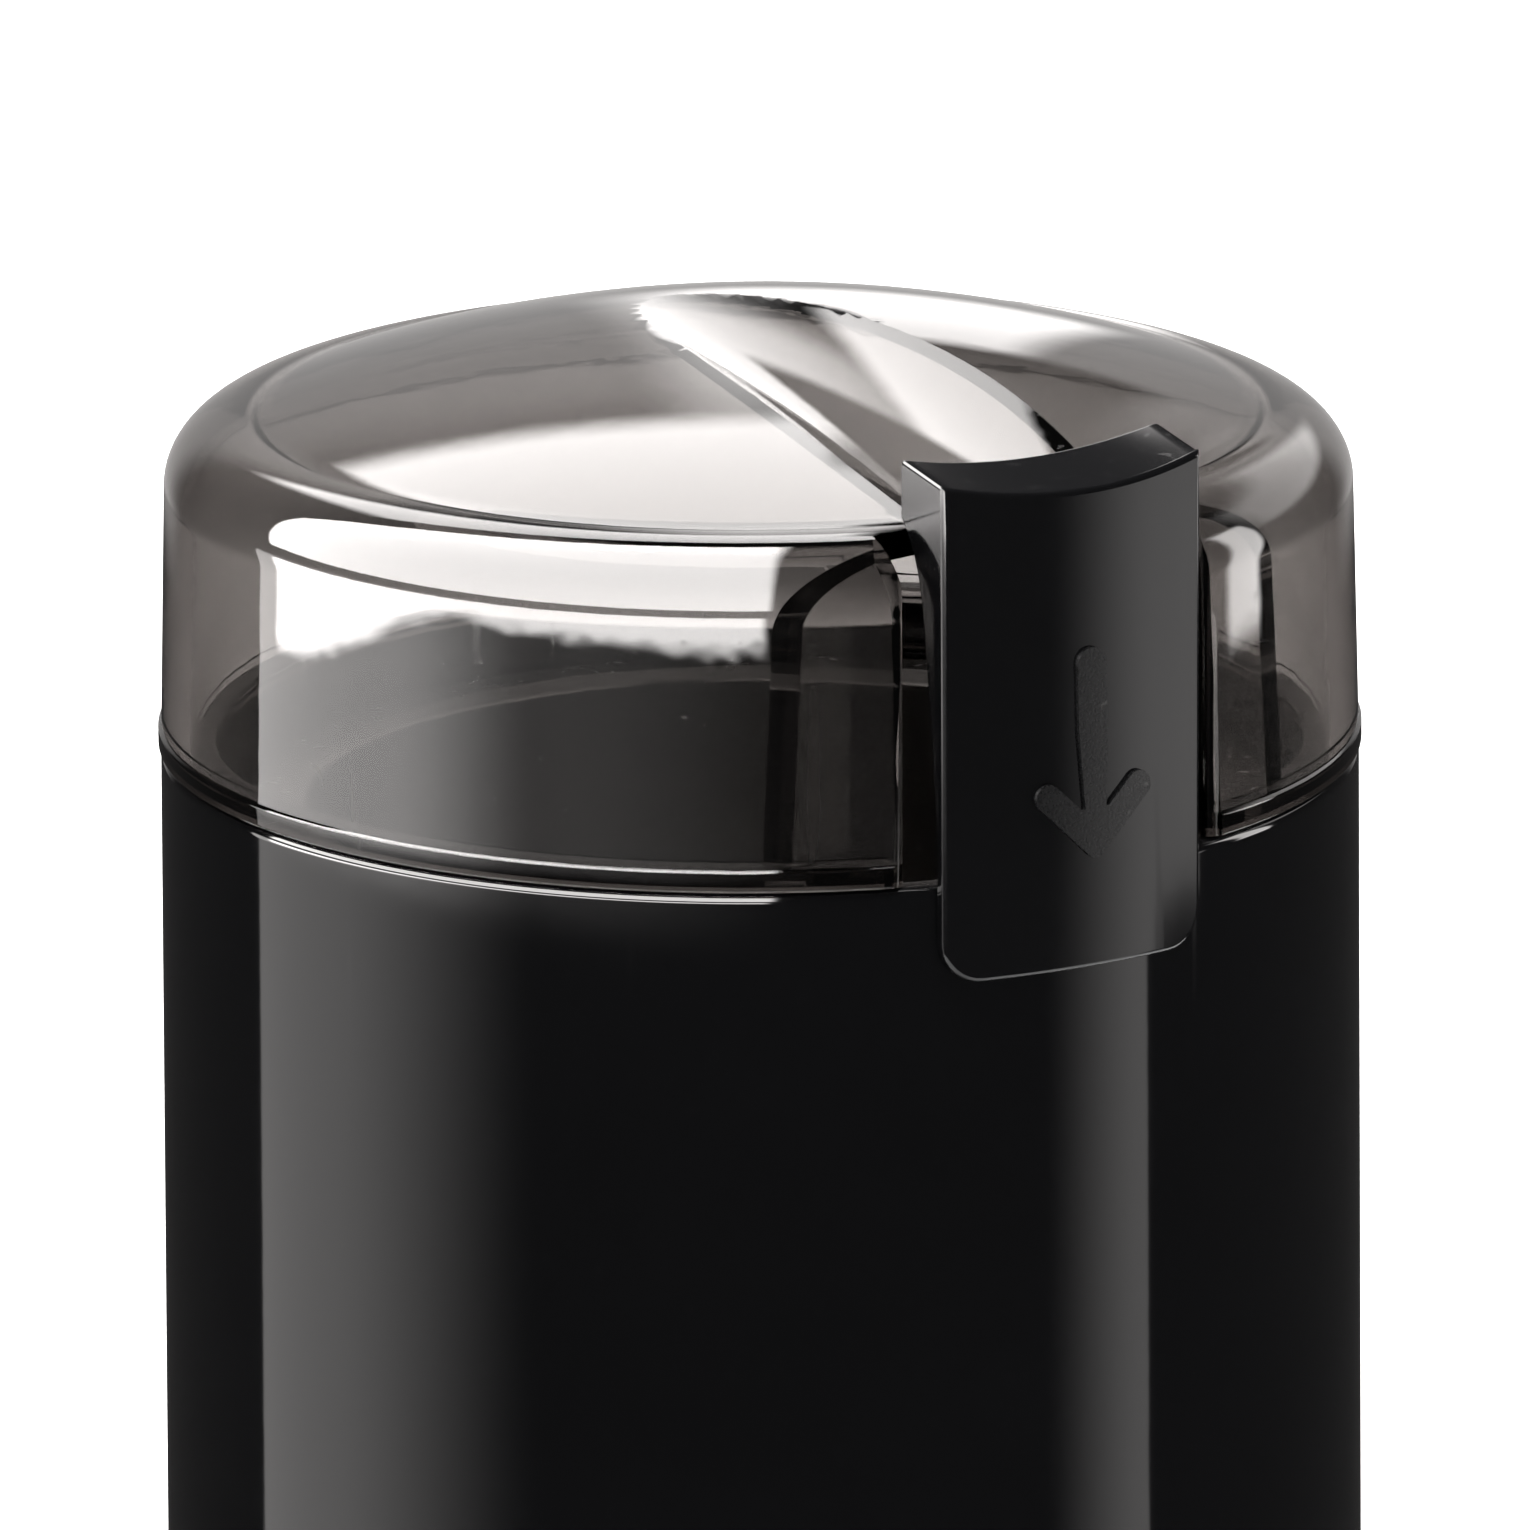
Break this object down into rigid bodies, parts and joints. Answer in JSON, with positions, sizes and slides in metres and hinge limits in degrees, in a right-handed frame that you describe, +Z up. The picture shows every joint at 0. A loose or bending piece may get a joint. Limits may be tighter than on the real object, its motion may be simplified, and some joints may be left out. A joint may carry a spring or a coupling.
{
  "type": "electric spice grinder",
  "caption": "Upright round electric spice grinder: black motor housing, steel bowl with a spinning blade, smoky clear lift-off lid and a tall push-down button at the front.",
  "frame": {"origin": "middle of the flat face that the grinder stands on, on the motor's axis", "axes": "+Z up along the motor shaft, -Y towards the push button, +X to the right seen from the button"},
  "size_m": [0.0919, 0.0924, 0.1678],
  "materials": {
    "black_housing": "polished moulded ABS, gloss black",
    "black_button": "moulded ABS, gloss black",
    "black_base": "moulded ABS, fine matt texture",
    "smoky_clear": "clear polystyrene with a smoky brown-grey tint, polished",
    "bowl_steel": "deep-drawn stainless steel, satin inside",
    "blade_steel": "stainless steel, ground edges",
    "shaft_steel": "ground steel",
    "lamination_steel": "stacked electrical steel, varnished",
    "copper_wire": "enamelled copper wire, varnished",
    "commutator_copper": "bare copper segments",
    "bracket_aluminium": "die-cast, as cast",
    "bracket_plastic": "glass-filled nylon",
    "fan_plastic": "natural nylon",
    "switch_plastic": "moulded phenolic",
    "plunger_plastic": "moulded acetal",
    "fibre": "vulcanised fibre",
    "bronze": "sintered bronze",
    "holder_brass": "pressed brass",
    "carbon": "pressed carbon",
    "spring_steel": "drawn spring wire",
    "zinc_screws": "zinc-plated steel",
    "grey_rubber": "moulded grey rubber",
    "black_rubber": "moulded black rubber"
  },
  "bodies": {
    "motor_body": {"motor_housing": "black_housing", "base_plate": "black_base", "base_screws": "zinc_screws", "rubber_feet": "grey_rubber", "cord_gland": "black_rubber", "grinding_bowl": "bowl_steel", "bowl_gasket": "grey_rubber", "shaft_seal": "grey_rubber", "stator_core": "lamination_steel", "field_coils": "copper_wire", "upper_bracket": "bracket_aluminium", "lower_bracket": "bracket_plastic", "bracket_screws": "zinc_screws", "motor_screws": "zinc_screws", "upper_bush": "bronze", "lower_bush": "bronze", "brush_holders": "holder_brass", "carbon_brushes": "carbon", "brush_springs": "spring_steel", "motor_cushion": "black_rubber", "switch_body": "switch_plastic", "lid_switch": "switch_plastic", "button_spring": "spring_steel", "interlock_spring": "spring_steel"},
    "rotor": {"blade": "blade_steel", "blade_nut": "blade_steel", "motor_shaft": "shaft_steel", "rotor_core": "lamination_steel", "rotor_windings": "copper_wire", "commutator": "commutator_copper", "cooling_fan": "fan_plastic", "thrust_washers": "fibre"},
    "button": {"push_button": "black_button", "switch_plunger": "plunger_plastic"},
    "pin": {"interlock_pin": "plunger_plastic"},
    "hood": {"lid": "smoky_clear"}
  },
  "joints": [
    {"name": "blade_spin", "type": "hinge", "parent": "motor_body", "child": "rotor", "pos_m": [0, 0, 0.1], "axis": [0, 0, 1], "continuous": true},
    {"name": "button_press", "type": "slide", "parent": "motor_body", "child": "button", "axis": [0, 0, -1], "range_m": [0, 0.004], "stiffness_N_per_m": 500, "springref_m": -0.004, "deforming": ["button_spring"]},
    {"name": "lid_lift", "type": "slide", "parent": "motor_body", "child": "hood", "axis": [0, 0, 1], "range_m": [0, 0.06]},
    {"name": "interlock_rise", "type": "slide", "parent": "motor_body", "child": "pin", "axis": [0, 0, 1], "range_m": [0, 0.0025], "deforming": ["interlock_spring"]}
  ],
  "couplings": [
    {"joint": "interlock_rise", "follows": "lid_lift", "ratio": 0.041666}
  ]
}
